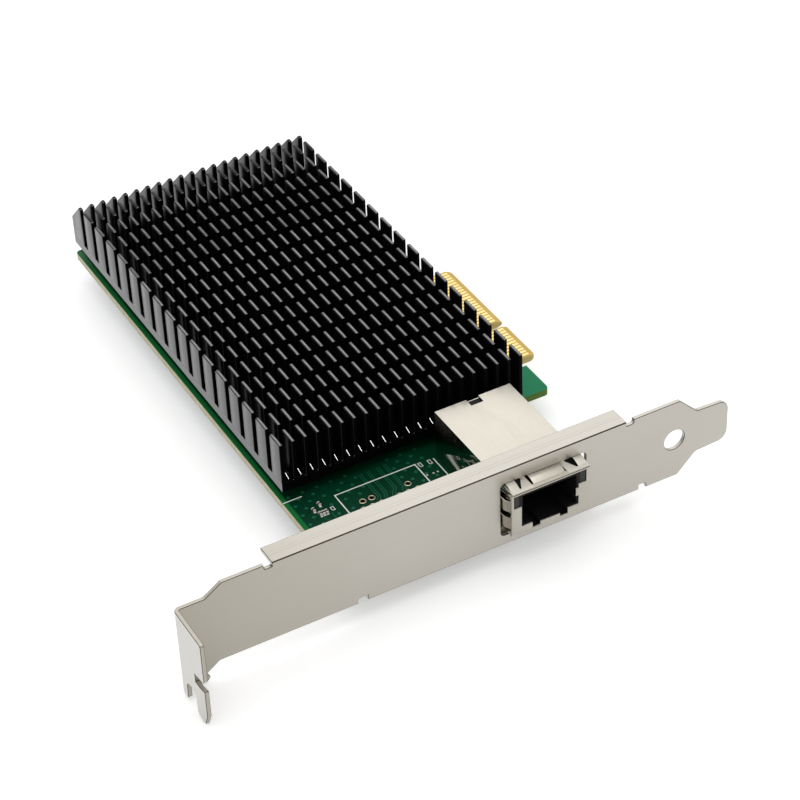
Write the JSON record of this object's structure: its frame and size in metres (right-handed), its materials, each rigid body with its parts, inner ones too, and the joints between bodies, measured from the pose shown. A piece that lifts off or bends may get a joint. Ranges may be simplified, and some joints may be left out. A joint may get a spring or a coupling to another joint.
{
  "type": "network interface card",
  "caption": "Network interface card with a full-height slotted bracket, a network socket, a circuit board with an edge connector and a large black finned heatsink.",
  "frame": {"origin": "on the outer face of the bracket, half way along its length, level with the component side of the circuit board", "axes": "+X runs along the bracket from the screw flange to the tongue, which is also the way the edge connector goes into its slot; +Y runs back from the bracket along the board; +Z is out of the component side"},
  "size_m": [0.12, 0.1406, 0.023],
  "materials": {
    "board_green": "satin",
    "contact_gold": "polished",
    "solder": "satin",
    "bracket_metal": "satin",
    "screw_steel": "satin",
    "black_aluminium": "satin",
    "standoff_brass": "satin",
    "shield_steel": "polished",
    "black_plastic": "matte",
    "window_plastic": "gloss",
    "chip_black": "matte",
    "substrate_green": "satin",
    "lid_metal": "satin",
    "pad_grey": "matte",
    "inductor_grey": "matte",
    "capacitor_tan": "satin"
  },
  "bodies": {
    "root": {"circuit_board": "board_green", "edge_contacts_top": "contact_gold", "edge_contacts_bottom": "contact_gold", "spare_port_rings": "solder", "bracket": "bracket_metal", "bracket_screws": "screw_steel", "heatsink": "black_aluminium", "heatsink_standoffs": "standoff_brass", "heatsink_screws": "screw_steel", "jack_shield": "shield_steel", "jack_housing": "black_plastic", "jack_light_windows": "window_plastic", "jack_contacts": "contact_gold", "jack_magnetics": "chip_black", "jack_pins": "solder", "controller_substrate": "substrate_green", "controller_lid": "lid_metal", "thermal_pad": "pad_grey", "power_inductors": "inductor_grey", "voltage_regulators": "chip_black", "polymer_capacitors": "chip_black", "crystal": "lid_metal", "flash_memory": "chip_black", "ceramic_capacitors": "capacitor_tan", "resistors": "chip_black", "solder_side_capacitors": "capacitor_tan"}
  },
  "joints": []
}
